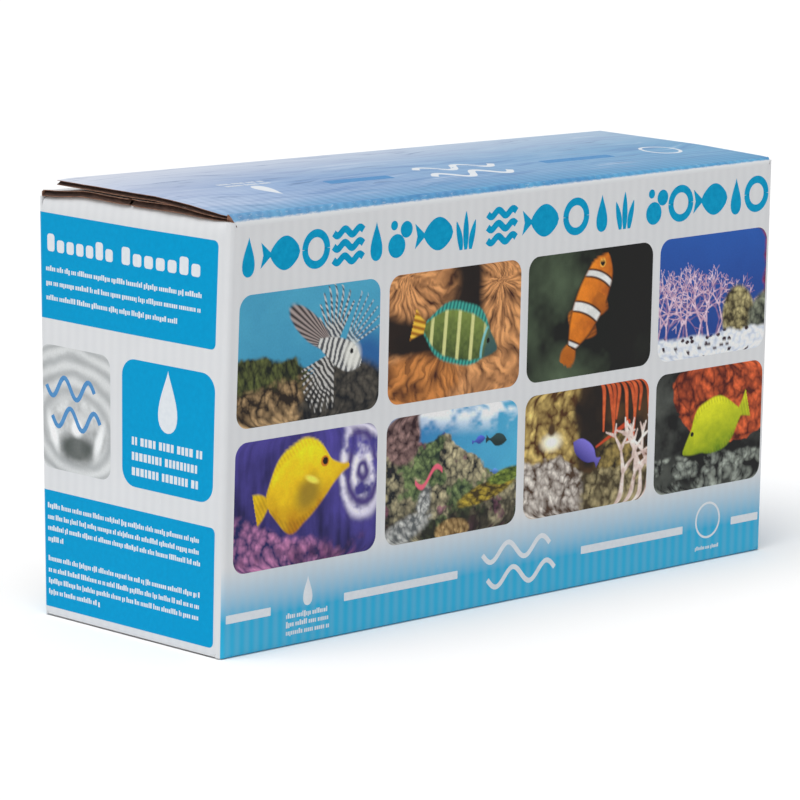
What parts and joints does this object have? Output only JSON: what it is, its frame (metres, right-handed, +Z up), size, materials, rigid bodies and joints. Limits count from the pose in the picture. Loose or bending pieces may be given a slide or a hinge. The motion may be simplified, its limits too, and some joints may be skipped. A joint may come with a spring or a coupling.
{
  "type": "boxed reverse osmosis unit",
  "caption": "Printed corrugated carton with opening top flaps, holding an inline reverse osmosis unit of clipped cartridges and a capped membrane housing.",
  "frame": {"origin": "middle of the carton's base, on the surface it stands on", "axes": "+X along the long front face, to the right as seen from the front; +Y from the front face to the back; +Z up"},
  "size_m": [0.4, 0.138, 0.222],
  "materials": {
    "printed_board": "printed, slight gloss",
    "board": "matte",
    "white_plastic": "satin",
    "clip_plastic": "satin",
    "fitting_plastic": "satin",
    "collet_plastic": "satin",
    "lever_plastic": "satin",
    "wrench_plastic": "satin",
    "tube_plastic": "waxy",
    "rubber": "matte",
    "fibre": "matte",
    "carbon": "grainy",
    "membrane_wrap": "taped",
    "chrome": "polished",
    "paper": "matte"
  },
  "bodies": {
    "carton": {"front_panel": "printed_board", "back_panel": "printed_board", "left_end_panel": "printed_board", "right_end_panel": "printed_board", "glue_tab": "board", "bottom_front_flap": "board", "bottom_back_flap": "board", "bottom_left_dust_flap": "board", "bottom_right_dust_flap": "board", "membrane_housing": "white_plastic", "sediment_shell": "white_plastic", "sediment_end_caps": "white_plastic", "carbon_shell": "white_plastic", "carbon_end_caps": "white_plastic", "stacking_clips": "clip_plastic", "pairing_clips": "clip_plastic", "sediment_inlet_elbow": "fitting_plastic", "sediment_outlet_elbow": "fitting_plastic", "carbon_inlet_elbow": "fitting_plastic", "carbon_outlet_elbow": "fitting_plastic", "permeate_elbow": "fitting_plastic", "concentrate_elbow": "fitting_plastic", "elbow_seals": "rubber", "core_seals": "rubber", "brine_seal": "rubber", "tap_washer": "rubber", "jumper_tube": "tube_plastic", "flow_restrictor": "collet_plastic", "sediment_core": "fibre", "carbon_bed": "carbon", "carbon_pads": "fibre", "membrane_core": "white_plastic", "membrane_element": "membrane_wrap", "valve_body": "fitting_plastic", "cap_wrench": "wrench_plastic", "leaflet": "paper"},
    "outer_flap": {"top_outer_flap": "printed_board", "top_front_inner_layer": "board"},
    "back_flap": {"top_back_flap": "board"},
    "left_dust": {"top_left_dust_flap": "board"},
    "right_dust": {"top_right_dust_flap": "board"},
    "cap_slide_ring": {"cap_seal": "rubber"},
    "cap": {"housing_cap": "white_plastic", "cap_elbow": "fitting_plastic", "cap_elbow_seal": "rubber"},
    "nut": {"coupling_nut": "wrench_plastic"},
    "lever": {"valve_lever": "lever_plastic", "valve_ball": "chrome"},
    "sediment_inlet_collet": {"sediment_inlet_collet": "collet_plastic"},
    "sediment_outlet_collet": {"sediment_outlet_collet": "collet_plastic"},
    "carbon_inlet_collet": {"carbon_inlet_collet": "collet_plastic"},
    "carbon_outlet_collet": {"carbon_outlet_collet": "collet_plastic"},
    "permeate_collet": {"permeate_collet": "collet_plastic"},
    "concentrate_collet": {"concentrate_collet": "collet_plastic"},
    "cap_collet": {"cap_collet": "collet_plastic"},
    "valve_collet": {"valve_collet": "collet_plastic"}
  },
  "joints": [
    {"name": "outer_flap_hinge", "type": "hinge", "parent": "carton", "child": "outer_flap", "pos_m": [0, -0.0655, 0.215], "axis": [1, 0, 0], "range_deg": [0, 225]},
    {"name": "back_flap_hinge", "type": "hinge", "parent": "carton", "child": "back_flap", "pos_m": [0, 0.0725, 0.2122], "axis": [1, 0, 0], "range_deg": [-225, 0]},
    {"name": "left_dust_hinge", "type": "hinge", "parent": "carton", "child": "left_dust", "pos_m": [-0.2, 0, 0.2094], "axis": [0, 1, 0], "range_deg": [-90, 0]},
    {"name": "right_dust_hinge", "type": "hinge", "parent": "carton", "child": "right_dust", "pos_m": [0.2, 0, 0.2094], "axis": [0, 1, 0], "range_deg": [0, 90]},
    {"name": "cap_travel", "type": "slide", "parent": "carton", "child": "cap_slide_ring", "axis": [-1, 0, 0], "range_m": [0, 0.0035]},
    {"name": "cap_turn", "type": "hinge", "parent": "cap_slide_ring", "child": "cap", "pos_m": [0, 0, 0.08793], "axis": [-1, 0, 0], "range_deg": [0, 360]},
    {"name": "nut_spin", "type": "hinge", "parent": "carton", "child": "nut", "pos_m": [0.176, 0, 0.0222], "axis": [0, 1, 0], "continuous": true},
    {"name": "lever_turn", "type": "hinge", "parent": "carton", "child": "lever", "pos_m": [0.176, -0.032, 0.0222], "axis": [0, 0, 1], "range_deg": [-90, 0]},
    {"name": "sediment_inlet_collet_press", "type": "slide", "parent": "carton", "child": "sediment_inlet_collet", "axis": [0, 1, 0], "range_m": [0, 0.0012]},
    {"name": "sediment_outlet_collet_press", "type": "slide", "parent": "carton", "child": "sediment_outlet_collet", "axis": [0, -1, 0], "range_m": [0, 0.0012]},
    {"name": "carbon_inlet_collet_press", "type": "slide", "parent": "carton", "child": "carbon_inlet_collet", "axis": [0, 1, 0], "range_m": [0, 0.0012]},
    {"name": "carbon_outlet_collet_press", "type": "slide", "parent": "carton", "child": "carbon_outlet_collet", "axis": [0, -1, 0], "range_m": [0, 0.0012]},
    {"name": "permeate_collet_press", "type": "slide", "parent": "carton", "child": "permeate_collet", "axis": [0, 0, -1], "range_m": [0, 0.0012]},
    {"name": "concentrate_collet_press", "type": "slide", "parent": "carton", "child": "concentrate_collet", "axis": [0, 0, 1], "range_m": [0, 0.0012]},
    {"name": "cap_collet_press", "type": "slide", "parent": "cap", "child": "cap_collet", "axis": [0, 0, -1], "range_m": [0, 0.0012]},
    {"name": "valve_collet_press", "type": "slide", "parent": "carton", "child": "valve_collet", "axis": [0, 1, 0], "range_m": [0, 0.0012]}
  ],
  "couplings": [
    {"joint": "back_flap_hinge", "follows": "outer_flap_hinge", "ratio": -1},
    {"joint": "left_dust_hinge", "follows": "outer_flap_hinge", "ratio": -0.39},
    {"joint": "right_dust_hinge", "follows": "outer_flap_hinge", "ratio": 0.39},
    {"joint": "cap_travel", "follows": "cap_turn", "m_per_rad": 0.00055704}
  ]
}
